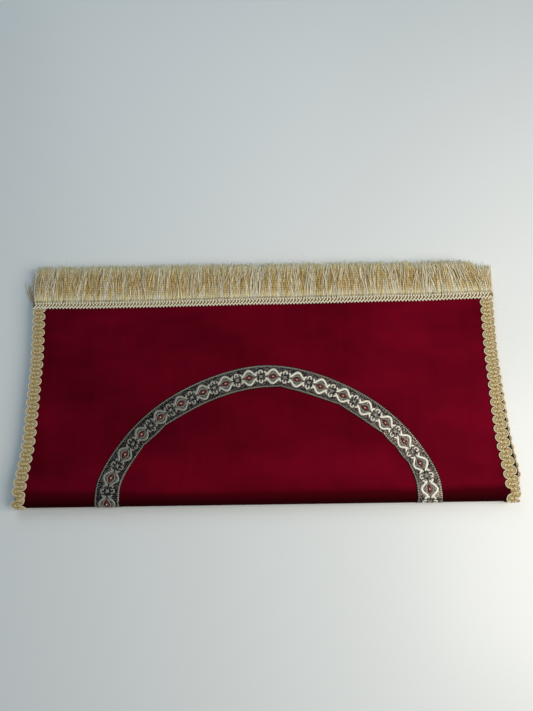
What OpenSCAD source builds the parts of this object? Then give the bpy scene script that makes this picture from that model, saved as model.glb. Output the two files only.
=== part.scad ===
// Velvet prayer mat with an arch of woven ribbon, braided side edges and a brush fringe at both ends,
// folded in half twice. The stack has four leaves: leaf 1 is on top, leaf 2 lies on the floor,
// leaf 3 lies on leaf 2 and leaf 4 lies under leaf 1.
// Leaves 1 and 2 are one outer sheet and leaves 3 and 4 one inner sheet. Both turn round the front
// fold, and leaves 2 and 3 meet in the back fold.
// +X is across the mat, +Y points from the front fold to the fringes and +Z is up.

/* [Cloth] */
// Width of the velvet across the mat
cloth_w = 592; // [500:1:900]
// Straight length of the top leaf, from the fold's axis to its hemmed end
leaf_len = 252.5; // [205:1:400]
// How much further from the front the back fold's axis stops than the top leaf's end
back_fold_in = 5; // [0:0.5:12]
// Thickness of the velvet, pile included
velvet_t = 1.2; // [0.6:0.1:2.5]
// Thickness of the felt wadding
wadding_t = 1.2; // [0.4:0.1:3]
// Thickness of the lining
lining_t = 0.3; // [0.2:0.05:0.8]
// Air between two leaves that lie on each other
slip = 0.4; // [0.3:0.1:1]
// Straight stretch that a folded strip keeps on each side of the front fold
fold_stub = 1; // [0.5:0.1:3]

/* [Side braid] */
// Width of the scroll braid over its scallops
braid_w = 17.4; // [10:0.5:24]
// Distance between two scallops
scallop_pitch = 10.8; // [7:0.1:16]
// How deep the notches between scallops are
notch_depth = 3; // [1:0.1:4]
// Thickness of the braid
braid_t = 1.8; // [1:0.1:2.6]
// How far the braid stands out past the velvet's edge
braid_over = 4; // [1:0.5:6]
// Width of the gold threads down the middle of the braid
core_w = 7; // [4:0.5:8]
// How far the gold threads stand above the braid
core_t = 0.3; // [0.2:0.05:0.6]

/* [Arch ribbon] */
// Width of the woven ribbon
ribbon_w = 30; // [15:1:40]
// Thickness of the woven ribbon
ribbon_t = 0.7; // [0.4:0.1:0.9]
// Half of the arch's span, to the middle of the ribbon
arch_half_span = 190; // [150:1:240]
// Rise of the arch above its spring line, to the middle of the ribbon
arch_rise = 148; // [115:1:180]
// Radius of the haunches, to the middle of the ribbon
haunch_r = 105; // [60:1:130]

/* [Fringe] */
// Width of the header tape, from front to back
header_w = 11; // [6:0.5:20]
// How far the header stands out past the hemmed end
header_over = 2; // [0:0.5:5]
// Thickness of the header tape
header_t = 1.2; // [0.8:0.1:1.6]
// Length of the loose strands
skirt_len = 46; // [20:1:90]
// Thickness of the mass of strands
skirt_t = 3.4; // [2:0.1:4]
// How far the strands' tips hang below the header
skirt_drop = 5; // [0:0.5:8]

/* [Stitching] */
// Width of a sewing thread
thread_w = 0.6; // [0.4:0.1:1]
// How far a sewing thread stands above what it holds
thread_t = 0.25; // [0.15:0.05:0.4]
// Distance from a tape's edge to its stitching
thread_inset = 1.5; // [1:0.1:3]

/* [Hidden] */
$fn = 96;
// thickness of one leaf, and depths measured from the lining's free face towards the velvet's face
leaf_t = lining_t + wadding_t + velvet_t;
lining_d = [0, lining_t];
wadding_d = [lining_t, lining_t + wadding_t];
velvet_d = [lining_t + wadding_t, leaf_t];
braid_d = [leaf_t, leaf_t + braid_t];
core_d = [leaf_t + braid_t, leaf_t + braid_t + core_t];
ribbon_d = [leaf_t, leaf_t + ribbon_t];
ribbon_thread_d = [leaf_t + ribbon_t, leaf_t + ribbon_t + thread_t];
header_d = [leaf_t, leaf_t + header_t];
header_thread_d = [leaf_t + header_t, leaf_t + header_t + thread_t];
// radii of the sheets' lining faces about the front fold's axis
inner_r = slip / 2 + core_t + braid_t + leaf_t;
outer_r = inner_r + slip;
stack_r = outer_r + leaf_t + braid_t + core_t;
// the front fold's axis, placed so that the whole mat is centred on the origin
depth_all = stack_r + leaf_len + header_over + skirt_len;
axis_y = stack_r - depth_all / 2;
axis_z = stack_r;
// ends of the leaves
end_y = axis_y + leaf_len;
back_y = end_y - back_fold_in;
back_z = axis_z - outer_r + slip / 2;
header_y = end_y + header_over - header_w;
leaf_y = axis_y + fold_stub;
// the braid's middle line, and the places of its scallops
braid_x = cloth_w / 2 + braid_over - braid_w / 2;
// radius of the arch's crown, and how far its centre lies below the spring line
crown_drop = (pow(arch_half_span - haunch_r, 2) - pow(arch_rise - haunch_r, 2)) / (2 * (arch_rise - haunch_r));
crown_r = arch_rise + crown_drop;
haunch_angle = atan2(arch_half_span - haunch_r, crown_drop);

velvet_red = "#6a0a1e";
wadding_grey = "#8b8680";
lining_black = "#17161a";
braid_cream = "#d9c592";
core_gold = "#c4a54a";
ribbon_pewter = "#6d6a62";
thread_ivory = "#e6dcc2";
skirt_gold = "#cda85c";

// ---- cross-sections: x is the distance along the mat, y is the height ----

// all that lies within r of a line l long, which starts on a fold's axis, with the line's far end cut square
module tongue(r, l) {
    circle(r);
    translate([0, -r]) square([l, 2 * r]);
}

// a strip bent half round a fold's axis, with radii r there and two legs l long
module hairpin(r, l) {
    difference() {
        tongue(r[1], l + r[1]);
        tongue(r[0], l + r[1] + 1);
        translate([l, -r[1] - 1]) square([r[1] + 2, 2 * r[1] + 2]);
    }
}

// leaves 1 and 4 at depths d below the lining face, up to y1_outer and y1_inner
module upper_section(d, y1_outer, y1_inner) {
    translate([leaf_y, axis_z + outer_r + d[0]]) square([y1_outer - leaf_y, d[1] - d[0]]);
    translate([leaf_y, axis_z + inner_r - d[1]]) square([y1_inner - leaf_y, d[1] - d[0]]);
}

// leaves 2 and 3 and the back fold between them, which turns about an axis between their lining faces
module lower_section(d) {
    translate([back_y, back_z]) mirror([1, 0]) hairpin([slip / 2 + d[0], slip / 2 + d[1]], back_y - leaf_y);
}

// the outer and the inner bend of the front fold, each with short legs
module fold_section(d) {
    translate([axis_y, axis_z]) {
        hairpin([outer_r + d[0], outer_r + d[1]], fold_stub);
        hairpin([inner_r - d[1], inner_r - d[0]], fold_stub);
    }
}

// carries a cross-section across the mat, w wide about x
module across(x, w) {
    translate([x - w / 2, 0, 0]) rotate([90, 0, 90]) linear_extrude(w) children();
}

// ---- cloth ----

module cloth_upper(d) {
    across(0, cloth_w) upper_section(d, end_y, end_y);
}

module cloth_lower(d) {
    across(0, cloth_w) lower_section(d);
}

module cloth_fold(d) {
    across(0, cloth_w) fold_section(d);
}

// ---- flat trims, drawn in plan and laid on a leaf's velvet face ----

// leaf 1 and leaf 4 are above the axis, leaf 2 and leaf 3 below it
module on_outer(d, side) {
    low = min(side * (outer_r + d[0]), side * (outer_r + d[1]));
    translate([0, 0, axis_z + low]) linear_extrude(d[1] - d[0]) children();
}

module on_inner(d, side) {
    low = min(side * (inner_r - d[0]), side * (inner_r - d[1]));
    translate([0, 0, axis_z + low]) linear_extrude(d[1] - d[0]) children();
}

// outline of the scroll braid between y0 and y1: a band with a row of round scallops down each edge
module braid_outline(y0, y1) {
    scallop_r = scallop_pitch / 2;
    count = floor((y1 - y0) / scallop_pitch);
    band_w = braid_w - 2 * notch_depth;
    translate([-band_w / 2, y0]) square([band_w, y1 - y0]);
    for (side = [-1, 1], i = [0 : count - 1])
        translate([side * (braid_w / 2 - scallop_r), y0 + (i + 0.5) * scallop_pitch])
            circle(scallop_r - 0.02, $fn = 48);
}

module braid_upper(x) {
    translate([x, 0, 0]) {
        on_outer(braid_d, 1) braid_outline(leaf_y, header_y);
        on_inner(braid_d, 1) braid_outline(leaf_y, header_y);
    }
}

module braid_lower(x) {
    translate([x, 0, 0]) {
        on_outer(braid_d, -1) braid_outline(leaf_y, back_y);
        on_inner(braid_d, -1) braid_outline(leaf_y, back_y);
    }
    across(x, braid_w - 2 * notch_depth) lower_section(braid_d);
}

module braid_fold(x) {
    across(x, braid_w - 2 * notch_depth) fold_section(braid_d);
}

module core_upper(x) {
    across(x, core_w) upper_section(core_d, header_y, header_y);
}

module core_lower(x) {
    across(x, core_w) lower_section(core_d);
}

module core_fold(x) {
    across(x, core_w) fold_section(core_d);
}

// ---- the arch of ribbon ----

// region inside a three-centred arch that lies off outside the ribbon's middle line,
// closed along the spring line
module arch_region(off) {
    reach = arch_half_span + off + 1;
    crown = crown_r + off;
    intersection() {
        union() {
            intersection() {
                translate([0, -crown_drop]) circle(crown);
                polygon([
                    [0, -crown_drop],
                    [-2 * crown * sin(haunch_angle), -crown_drop + 2 * crown * cos(haunch_angle)],
                    [2 * crown * sin(haunch_angle), -crown_drop + 2 * crown * cos(haunch_angle)]
                ]);
            }
            for (side = [-1, 1])
                translate([side * (arch_half_span - haunch_r), 0]) circle(haunch_r + off);
            translate([haunch_r - arch_half_span, 0])
                square([2 * (arch_half_span - haunch_r), haunch_r / 2]);
        }
        translate([-reach, 0]) square([2 * reach, 2 * reach]);
    }
}

// band of the arch between the offsets a and b, from the front fold upwards
module arch_band(a, b) {
    translate([0, leaf_y]) difference() {
        arch_region(b);
        arch_region(a);
    }
}

module leg_pair(a, b, y0, y1) {
    for (side = [-1, 1])
        translate([side * arch_half_span + min(side * a, side * b), y0]) square([b - a, y1 - y0]);
}

module ribbon_arch() {
    on_outer(ribbon_d, 1) arch_band(-ribbon_w / 2, ribbon_w / 2);
}

module ribbon_legs_upper() {
    on_inner(ribbon_d, 1) leg_pair(-ribbon_w / 2, ribbon_w / 2, leaf_y, header_y);
}

module ribbon_legs_lower() {
    for (side = [-1, 1]) across(side * arch_half_span, ribbon_w) lower_section(ribbon_d);
}

module ribbon_fold() {
    for (side = [-1, 1]) across(side * arch_half_span, ribbon_w) fold_section(ribbon_d);
}

thread_low = ribbon_w / 2 - thread_inset - thread_w;
thread_high = ribbon_w / 2 - thread_inset;

module ribbon_stitching_upper() {
    on_outer(ribbon_thread_d, 1) {
        arch_band(thread_low, thread_high);
        arch_band(-thread_high, -thread_low);
    }
    on_inner(ribbon_thread_d, 1) {
        leg_pair(thread_low, thread_high, leaf_y, header_y);
        leg_pair(-thread_high, -thread_low, leaf_y, header_y);
    }
}

module ribbon_stitching_lower() {
    for (side = [-1, 1], row = [-1, 1])
        across(side * arch_half_span + row * (thread_low + thread_high) / 2, thread_w)
            lower_section(ribbon_thread_d);
}

// ---- fringes ----

fringe_w = cloth_w + 2 * braid_over;

module header_plan() {
    translate([-fringe_w / 2, header_y]) square([fringe_w, header_w]);
}

// two rows of stitching along the header
module header_thread_plan() {
    for (y = [header_y + thread_inset, header_y + header_w - thread_inset - thread_w])
        translate([-fringe_w / 2, y]) square([fringe_w, thread_w]);
}

// mass of strands that leaves a header whose top is at height top
module skirt(top) {
    y0 = header_y + header_w;
    y1 = y0 + skirt_len;
    across(0, fringe_w) polygon([
        [y0, top - skirt_t],
        [y1, top - skirt_t - skirt_drop],
        [y1, top - skirt_drop],
        [y0, top]
    ]);
}

head_top = axis_z + outer_r + header_d[1];
foot_top = axis_z + inner_r - header_d[1] + skirt_t;

color(velvet_red) cloth_upper(velvet_d);  // velvet_upper
color(velvet_red) cloth_lower(velvet_d);  // velvet_lower
color(velvet_red) cloth_fold(velvet_d);  // velvet_fold
color(wadding_grey) cloth_upper(wadding_d);  // wadding_upper
color(wadding_grey) cloth_lower(wadding_d);  // wadding_lower
color(wadding_grey) cloth_fold(wadding_d);  // wadding_fold
color(lining_black) cloth_upper(lining_d);  // lining_upper
color(lining_black) cloth_lower(lining_d);  // lining_lower
color(lining_black) cloth_fold(lining_d);  // lining_fold
color(braid_cream) braid_upper(-braid_x);  // braid_left_upper
color(braid_cream) braid_lower(-braid_x);  // braid_left_lower
color(braid_cream) braid_fold(-braid_x);  // braid_left_fold
color(braid_cream) braid_upper(braid_x);  // braid_right_upper
color(braid_cream) braid_lower(braid_x);  // braid_right_lower
color(braid_cream) braid_fold(braid_x);  // braid_right_fold
color(core_gold) core_upper(-braid_x);  // braid_core_left_upper
color(core_gold) core_lower(-braid_x);  // braid_core_left_lower
color(core_gold) core_fold(-braid_x);  // braid_core_left_fold
color(core_gold) core_upper(braid_x);  // braid_core_right_upper
color(core_gold) core_lower(braid_x);  // braid_core_right_lower
color(core_gold) core_fold(braid_x);  // braid_core_right_fold
color(ribbon_pewter) ribbon_arch();
color(ribbon_pewter) ribbon_legs_upper();
color(ribbon_pewter) ribbon_legs_lower();
color(ribbon_pewter) ribbon_fold();
color(thread_ivory) ribbon_stitching_upper();
color(thread_ivory) ribbon_stitching_lower();
color(thread_ivory) on_outer(header_d, 1) header_plan();  // head_fringe_header
color(skirt_gold) skirt(head_top);  // head_fringe_skirt
color(core_gold) on_outer(header_thread_d, 1) header_thread_plan();  // head_fringe_stitching
color(thread_ivory) on_inner(header_d, 1) header_plan();  // foot_fringe_header
color(skirt_gold) skirt(foot_top);  // foot_fringe_skirt
color(core_gold) on_inner(header_thread_d, 1) header_thread_plan();  // foot_fringe_stitching
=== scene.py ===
"""A padded velvet prayer mat with braided sides, an arch of ribbon and fringed ends, folded in half twice.

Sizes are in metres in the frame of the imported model: +X across the mat, +Y towards the fringes, +Z up.
Every cloth and trim is worked out on the unrolled mat, as x across it, t along it and n above the velvet's
face, and FoldedMat then carries it round the folds. t is 0 at the nose of the front fold, grows over the
top leaf and falls round the nose under it. The leaves are called top and inner, which is under it, and the
two under those are the base.
"""

import logging
import math
from dataclasses import dataclass, field
from enum import Enum
from typing import Callable

import bpy
import numpy as np
from mathutils import Matrix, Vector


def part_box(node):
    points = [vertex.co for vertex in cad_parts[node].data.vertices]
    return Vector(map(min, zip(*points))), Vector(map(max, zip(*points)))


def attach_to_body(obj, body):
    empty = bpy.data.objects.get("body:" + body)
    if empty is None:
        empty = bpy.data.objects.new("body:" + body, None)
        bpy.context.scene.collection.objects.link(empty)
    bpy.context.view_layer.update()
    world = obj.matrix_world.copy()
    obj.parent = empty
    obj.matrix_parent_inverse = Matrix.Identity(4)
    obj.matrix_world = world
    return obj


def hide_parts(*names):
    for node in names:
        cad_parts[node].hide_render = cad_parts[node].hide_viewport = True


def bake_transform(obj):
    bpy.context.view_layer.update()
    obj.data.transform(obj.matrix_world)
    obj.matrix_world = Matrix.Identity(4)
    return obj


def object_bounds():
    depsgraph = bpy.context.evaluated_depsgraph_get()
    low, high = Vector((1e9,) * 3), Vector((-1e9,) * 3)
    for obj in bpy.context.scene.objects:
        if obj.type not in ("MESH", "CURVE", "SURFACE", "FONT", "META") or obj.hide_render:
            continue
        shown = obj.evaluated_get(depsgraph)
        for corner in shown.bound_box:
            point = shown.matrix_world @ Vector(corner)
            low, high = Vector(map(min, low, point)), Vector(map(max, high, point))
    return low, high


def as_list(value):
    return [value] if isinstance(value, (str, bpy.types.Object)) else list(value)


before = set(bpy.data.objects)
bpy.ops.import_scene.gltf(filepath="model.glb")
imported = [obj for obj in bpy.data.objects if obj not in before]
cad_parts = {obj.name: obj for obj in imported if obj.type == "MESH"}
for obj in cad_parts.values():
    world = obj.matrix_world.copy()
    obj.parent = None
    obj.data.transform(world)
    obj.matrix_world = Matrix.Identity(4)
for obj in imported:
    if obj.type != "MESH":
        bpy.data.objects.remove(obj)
CAD_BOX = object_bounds()

LOG = logging.getLogger("mat")
MM = 0.001
UPPER, LOWER = "upper_half", "lower_half"
Points = np.ndarray
Piece, Material = bpy.types.Object, bpy.types.Material
Node, Socket = bpy.types.Node, bpy.types.NodeSocket
Placer = Callable[[Points, Points, Points], Points]


# ---------------------------------------------------------------- small tools


def ease(value: Points, low: float, high: float) -> Points:
    """Smooth step from 0 at low to 1 at high."""
    s = np.clip((np.asarray(value, float) - low) / (high - low), 0.0, 1.0)
    return s * s * (3.0 - 2.0 * s)


def unit(vectors: Points) -> Points:
    """The vectors at length 1."""
    return vectors / np.maximum(np.linalg.norm(vectors, axis=-1, keepdims=True), 1e-12)


def through(points: list[tuple[float, float]], count: int) -> Points:
    """A smooth line through a few plane points.

    Between two points the line is the Catmull-Rom cubic of the four points round them.

    Args:
        points: the places that the line passes.
        count: how many points to return.

    Returns:
        An array of count rows of x and y.
    """
    p = np.array(points, float)
    q = np.vstack([2 * p[:1] - p[1:2], p, 2 * p[-1:] - p[-2:-1]])
    s = np.linspace(0.0, len(p) - 1, count)
    i = np.minimum(s.astype(int), len(p) - 2)
    f = (s - i)[:, None]
    a, b, c, d = q[i], q[i + 1], q[i + 2], q[i + 3]
    return 0.5 * (2 * b + (c - a) * f + (2 * a - 5 * b + 4 * c - d) * f**2 + (3 * b - a - 3 * c + d) * f**3)


@dataclass
class Shape:
    """Points and faces of a mesh in the making, with a flat place (uv) and a tone at each point.

    The last few quads, as many as ends says, are cut ends and are shaded flat.
    """

    points: Points
    quads: Points
    caps: Points | None = None
    uv: Points | None = None
    tone: Points | None = None
    ends: int = 0

    @staticmethod
    def join(shapes: list["Shape"]) -> "Shape":
        """One shape out of several that all have uv and tone, and caps of one size."""
        steps = np.cumsum([0] + [len(s.points) for s in shapes])[:-1]
        caps = [s.caps + k for s, k in zip(shapes, steps) if s.caps is not None]
        return Shape(
            np.concatenate([s.points for s in shapes]),
            np.concatenate(
                [(s.quads + k)[: len(s.quads) - s.ends] for s, k in zip(shapes, steps)]
                + [(s.quads + k)[len(s.quads) - s.ends :] for s, k in zip(shapes, steps)]
            ),
            np.concatenate(caps) if caps else None,
            np.concatenate([s.uv for s in shapes]),
            np.concatenate([s.tone for s in shapes]),
            sum(s.ends for s in shapes),
        )


def make_piece(name: str, shape: Shape, material: Material) -> Piece:
    """A smooth mesh object at the origin.

    Args:
        name: the piece's name.
        shape: its points and faces, with outward faces.
        material: its finish.

    Returns:
        The new object, linked to the scene.
    """
    mesh = bpy.data.meshes.new(name)
    faces = [shape.quads] + ([shape.caps] if shape.caps is not None else [])
    corners = np.concatenate([f.ravel() for f in faces]).astype(np.int32)
    sizes = np.concatenate([np.full(len(f), f.shape[1]) for f in faces])
    mesh.vertices.add(len(shape.points))
    mesh.vertices.foreach_set("co", shape.points.astype(np.float32).ravel())
    mesh.loops.add(len(corners))
    mesh.loops.foreach_set("vertex_index", corners)
    mesh.polygons.add(len(sizes))
    mesh.polygons.foreach_set("loop_start", np.concatenate([[0], np.cumsum(sizes)[:-1]]).astype(np.int32))
    mesh.update(calc_edges=True)
    flat = np.zeros(len(sizes), bool)
    flat[len(shape.quads) - shape.ends : len(shape.quads)] = shape.ends > 0
    mesh.polygons.foreach_set("use_smooth", ~flat)
    if shape.uv is not None:
        layer = mesh.uv_layers.new(name="UVMap")
        layer.data.foreach_set("uv", shape.uv[corners].astype(np.float32).ravel())
    if shape.tone is not None:
        tone = mesh.attributes.new("tone", "FLOAT", "POINT")
        tone.data.foreach_set("value", shape.tone.astype(np.float32))
    mesh.validate()
    mesh.materials.append(material)
    obj = bpy.data.objects.new(name, mesh)
    bpy.context.scene.collection.objects.link(obj)
    return obj


def tubes(
    lines: Points,
    width: float | Points,
    height: float | Points,
    sides: int = 6,
    tone: float | Points = 0.0,
    place: Callable[[Points], Points] | None = None,
) -> Shape:
    """Closed tubes along many lines at once.

    Round each point of a line lies an ellipse in the plane across the line's direction: half of width to
    the side and half of height up, where up leans as little from +n as it can. The first corner of each
    ring is its lowest, so the seam of the uv, which is turns round and metres along, is underneath.

    Args:
        lines: array of lines, points and 3 coordinates.
        width: full width of the tube, one value or one for each line or point.
        height: full height of the tube, likewise.
        sides: corners of a ring.
        tone: tone of the tubes, one value or one for each line or point.
        place: carries the coordinates into the scene, if the lines are on the unrolled mat.

    Returns:
        The tubes as one shape.
    """
    lines = np.asarray(lines, float)
    count, length = lines.shape[:2]
    ahead = unit(np.gradient(lines, axis=1))
    side = unit(np.cross(np.array([0.0, 0.0, 1.0]), ahead))
    up = np.cross(ahead, side)
    angle = 2 * np.pi * np.arange(sides) / sides - np.pi / 2

    def spread(value: float | Points) -> Points:
        """The value for every line, point and corner."""
        value = np.asarray(value, float)
        value = value.reshape(value.shape + (1,) * (3 - value.ndim)) if value.ndim else value
        return np.broadcast_to(value, (count, length, sides))

    ring = (spread(width) / 2 * np.cos(angle))[..., None] * side[:, :, None]
    ring = ring + (spread(height) / 2 * np.sin(angle))[..., None] * up[:, :, None]
    points = (lines[:, :, None] + ring).reshape(-1, 3)
    base = np.arange(count * length * sides).reshape(count, length, sides)
    turned = np.roll(base, -1, axis=2)
    quads = np.stack([base[:, :-1], turned[:, :-1], turned[:, 1:], base[:, 1:]], axis=-1).reshape(-1, 4)
    caps = np.concatenate([base[:, 0, ::-1], base[:, -1]])
    run = np.cumsum(np.linalg.norm(np.diff(lines, axis=1, prepend=lines[:, :1]), axis=-1), axis=1)
    uv = np.stack(np.broadcast_arrays(np.arange(sides) / sides, run[:, :, None]), axis=-1).reshape(-1, 2)
    return Shape(place(points) if place else points, quads, caps, uv, spread(tone).reshape(-1))


def slab(
    across: Points, along: Points, low: Points, high: Points, place: Placer
) -> Shape:
    """A closed sheet with a thickness.

    Its section is a loop of points, along the high side and back along the low side, and the loop is
    carried along the sheet. The two ends are closed by a strip of faces between the sides.

    Args:
        across: places across the sheet, from low to high.
        along: places along the sheet, from low to high.
        low: height of the under side at each place across.
        high: height of the upper side at each place across.
        place: turns across, along and height into scene coordinates.

    Returns:
        The sheet, with a uv of metres across and along.
    """
    loop_x = np.concatenate([across, across[::-1]])
    loop_n = np.concatenate([high, low[::-1]])
    grid_x, grid_t = np.meshgrid(loop_x, along)
    grid_n = np.broadcast_to(loop_n, grid_x.shape)
    points = place(grid_x, grid_t, grid_n).reshape(-1, 3)
    count = len(loop_x)
    base = np.arange(len(along) * count).reshape(len(along), count)
    turned = np.roll(base, -1, axis=1)
    quads = [np.stack([base[:-1], turned[:-1], turned[1:], base[1:]], axis=-1).reshape(-1, 4)]
    i = np.arange(len(across) - 1)
    end = np.stack([i, i + 1, count - 2 - i, count - 1 - i], axis=-1)
    quads += [base[-1][end], base[0][end][:, ::-1]]
    uv = np.stack([grid_x, grid_t], axis=-1).reshape(-1, 2)
    return Shape(points, np.concatenate(quads), None, uv, np.zeros(len(points)), 2 * len(end))


# ---------------------------------------------------------------- finishes


def linear(hex_colour: str) -> tuple[float, float, float, float]:
    """A colour such as "#660519", in sRGB, as linear red, green, blue and alpha."""
    parts = [int(hex_colour[i : i + 2], 16) / 255 for i in (1, 3, 5)]
    r, g, b = [c / 12.92 if c <= 0.04045 else ((c + 0.055) / 1.055) ** 2.4 for c in parts]
    return (r, g, b, 1.0)


class Surface:
    """A material in the making: its nodes, and the shader that they feed."""

    def __init__(self, name: str) -> None:
        """Starts an empty material of this name."""
        self.material = bpy.data.materials.new(name)
        self.material.use_nodes = True
        self.tree = self.material.node_tree
        self.shader = self.tree.nodes["Principled BSDF"]

    def add(self, kind: str, inputs: dict, **settings: object) -> Node:
        """Adds one shader node.

        Args:
            kind: the node's type name, without the beginning that all share.
            inputs: plain values or feeding sockets of its inputs, by name or number.
            settings: the node's own settings, by name.

        Returns:
            The node.
        """
        node = self.tree.nodes.new(f"ShaderNode{kind}")
        for key, value in settings.items():
            setattr(node, key, value)
        for key, value in inputs.items():
            if isinstance(value, Socket):
                self.tree.links.new(value, node.inputs[key])
            else:
                node.inputs[key].default_value = value
        return node

    def calc(self, operation: str, *terms: Socket | float) -> Socket:
        """The result of one calculation, whose terms are sockets or plain numbers."""
        return self.add("Math", dict(enumerate(terms)), operation=operation).outputs[0]

    def flat(self, across: float = 1.0, along: float = 1.0) -> Socket:
        """The piece's own uv, in metres, times a scale across and along."""
        uv = self.add("UVMap", {}, uv_map="UVMap")
        return self.add("Mapping", {"Scale": (across, along, 1.0), "Vector": uv.outputs[0]}).outputs[0]

    def parts(self, across: float = 1.0, along: float = 1.0) -> tuple[Socket, Socket]:
        """The two coordinates of flat()."""
        split = self.add("SeparateXYZ", {"Vector": self.flat(across, along)})
        return split.outputs[0], split.outputs[1]

    def noise(self, place: Socket, detail: float, roughness: float = 0.5) -> Socket:
        """Soft noise with a period of about 1."""
        inputs = {"Scale": 1.0, "Detail": detail, "Roughness": roughness, "Vector": place}
        return self.add("TexNoise", inputs).outputs["Fac"]

    def tone(self) -> Socket:
        """The piece's tone."""
        return self.add("Attribute", {}, attribute_name="tone").outputs["Fac"]

    def ramp(self, share: Socket, first: str, second: str, low: float = 0.0, high: float = 1.0) -> Socket:
        """The first colour where share is at low, the second where it is at high."""
        node = self.add("ValToRGB", {"Fac": share})
        for stop, place, colour in zip(node.color_ramp.elements, (low, high), (first, second)):
            stop.position = place
            stop.color = linear(colour)
        return node.outputs[0]

    def mix(self, share: Socket, first: Socket, second: Socket | tuple) -> Socket:
        """The first colour where share is 0, the second where it is 1."""
        return self.add("Mix", {0: share, 6: first, 7: second}, data_type="RGBA").outputs[2]

    def dress(self, colour: Socket, height: Socket, depth: float, strength: float = 1.0) -> Material:
        """The finished material, of this colour and raised by depth metres where height is 1."""
        bump = self.add("Bump", {"Strength": strength, "Distance": depth, "Height": height})
        self.tree.links.new(colour, self.shader.inputs["Base Color"])
        self.tree.links.new(bump.outputs[0], self.shader.inputs["Normal"])
        return self.material


@dataclass(frozen=True)
class Finish:
    """What every finish shares: a name for the real material and the surface values of its shader.

    Attributes:
        name: the material's common name.
        roughness: how dull its gloss is.
        specular: how strong its gloss is, 0.5 being plain plastic.
        metallic: 1 for bare metal.
        sheen: how strongly loose fibres catch light at a glancing angle.
        sheen_roughness: how widely they spread it.
        sheen_tint: the colour of that light.
    """

    name: str
    roughness: float = 0.6
    specular: float = 0.4
    metallic: float = 0.0
    sheen: float = 0.0
    sheen_roughness: float = 0.4
    sheen_tint: str = "#ffffff"

    def start(self) -> Surface:
        """The material, with the shared values set."""
        surface = Surface(self.name)
        shader = surface.shader
        shader.inputs["Roughness"].default_value = self.roughness
        shader.inputs["Specular IOR Level"].default_value = self.specular
        shader.inputs["Metallic"].default_value = self.metallic
        shader.inputs["Sheen Weight"].default_value = self.sheen
        shader.inputs["Sheen Roughness"].default_value = self.sheen_roughness
        shader.inputs["Sheen Tint"].default_value = linear(self.sheen_tint)
        return surface


@dataclass(frozen=True)
class CutVelvet(Finish):
    """Cut-pile polyester velvet: dull and deep, with a red glow where the pile is seen from the side."""

    shade: str = "#500010"
    light: str = "#74031d"
    # depth: colour of the painted shade round the nose of the front fold
    depth: str = "#230002"

    def build(self) -> Material:
        """Pile laid this way and that by brushing, in broad soft patches, with faint streaks along the cloth,
        and painted light: lighter to the right, a painted shade round the front fold's nose and a painted
        highlight behind it.
        """
        s = self.start()
        # patches of brushed pile are 60 to 100 mm wide, and the streaks 8 mm wide and 100 mm long
        patches = s.noise(s.flat(8.0, 15.0), 3.0, 0.55)
        brushed_and_lit = s.calc("MULTIPLY_ADD", s.noise(s.flat(70.0, 12.0), 2.0), 0.2, patches)
        # painted light: the velvet is painted lighter from left to right, towards the window, and lighter
        # still where its tone is under 0, the painted highlight behind the front fold
        brushed_and_lit = s.calc("MULTIPLY_ADD", s.parts()[0], 0.45, brushed_and_lit)
        colour = s.ramp(s.calc("SUBTRACT", brushed_and_lit, s.tone()), self.shade, self.light, 0.35, 0.85)
        # painted shade: round the nose of the front fold, which turns away from the lamps, the tone mixes the
        # colour towards the depth colour; the pile opening on the bend darkens it a little as well
        colour = s.mix(s.tone(), colour, linear(self.depth))
        # tufts are 0.3 mm apart in fact, and drawn 1 mm apart so that they show
        return s.dress(colour, s.noise(s.flat(1000.0, 1000.0), 2.0), 0.3 * MM, 0.5)


@dataclass(frozen=True)
class WovenCloth(Finish):
    """A plain weave, such as the satin lining, or a felt: two close colours and a fine even grain."""

    shade: str = "#0c0b0e"
    light: str = "#1d1b20"
    thread: float = 0.8 * MM

    def build(self) -> Material:
        """Fine noise at the pitch of the threads, drawn coarser than they are so that it shows."""
        s = self.start()
        grain = s.noise(s.flat(1 / self.thread, 1 / self.thread), 1.0)
        return s.dress(s.ramp(grain, self.shade, self.light, 0.35, 0.65), grain, 0.1 * MM)


@dataclass(frozen=True)
class SpunThread(Finish):
    """Rayon or metallic thread wound round a core: the winding shows as slanting lines, with painted shade in
    its grooves and painted highlights on its ridges.

    Attributes:
        plain: colours in the grooves of the winding and on its ridges, at tone 0.
        full: the same at tone 1.
        lay: distance between two turns of the winding.
    """

    plain: tuple[str, str] = ("#000000", "#ffffff")
    full: tuple[str, str] = ("#000000", "#ffffff")
    lay: float = 1.1 * MM

    def build(self) -> Material:
        """Waves that run round the cord once for each turn, in colours that follow the tone: the darker
        colour in the grooves is painted shade, the lighter on the ridges a painted highlight.
        """
        s = self.start()
        wave = s.calc("SINE", s.calc("MULTIPLY", s.calc("ADD", *s.parts(1.0, 1 / self.lay)), 2 * math.pi))
        ridge = s.calc("MULTIPLY_ADD", wave, 0.5, 0.5)
        # painted shade at the ridge's low end, in the grooves, and a painted highlight at its high end, on
        # the ridges
        colour = s.mix(s.tone(), s.ramp(ridge, *self.plain), s.ramp(ridge, *self.full))
        return s.dress(colour, ridge, 0.15 * MM, 0.7)


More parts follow.
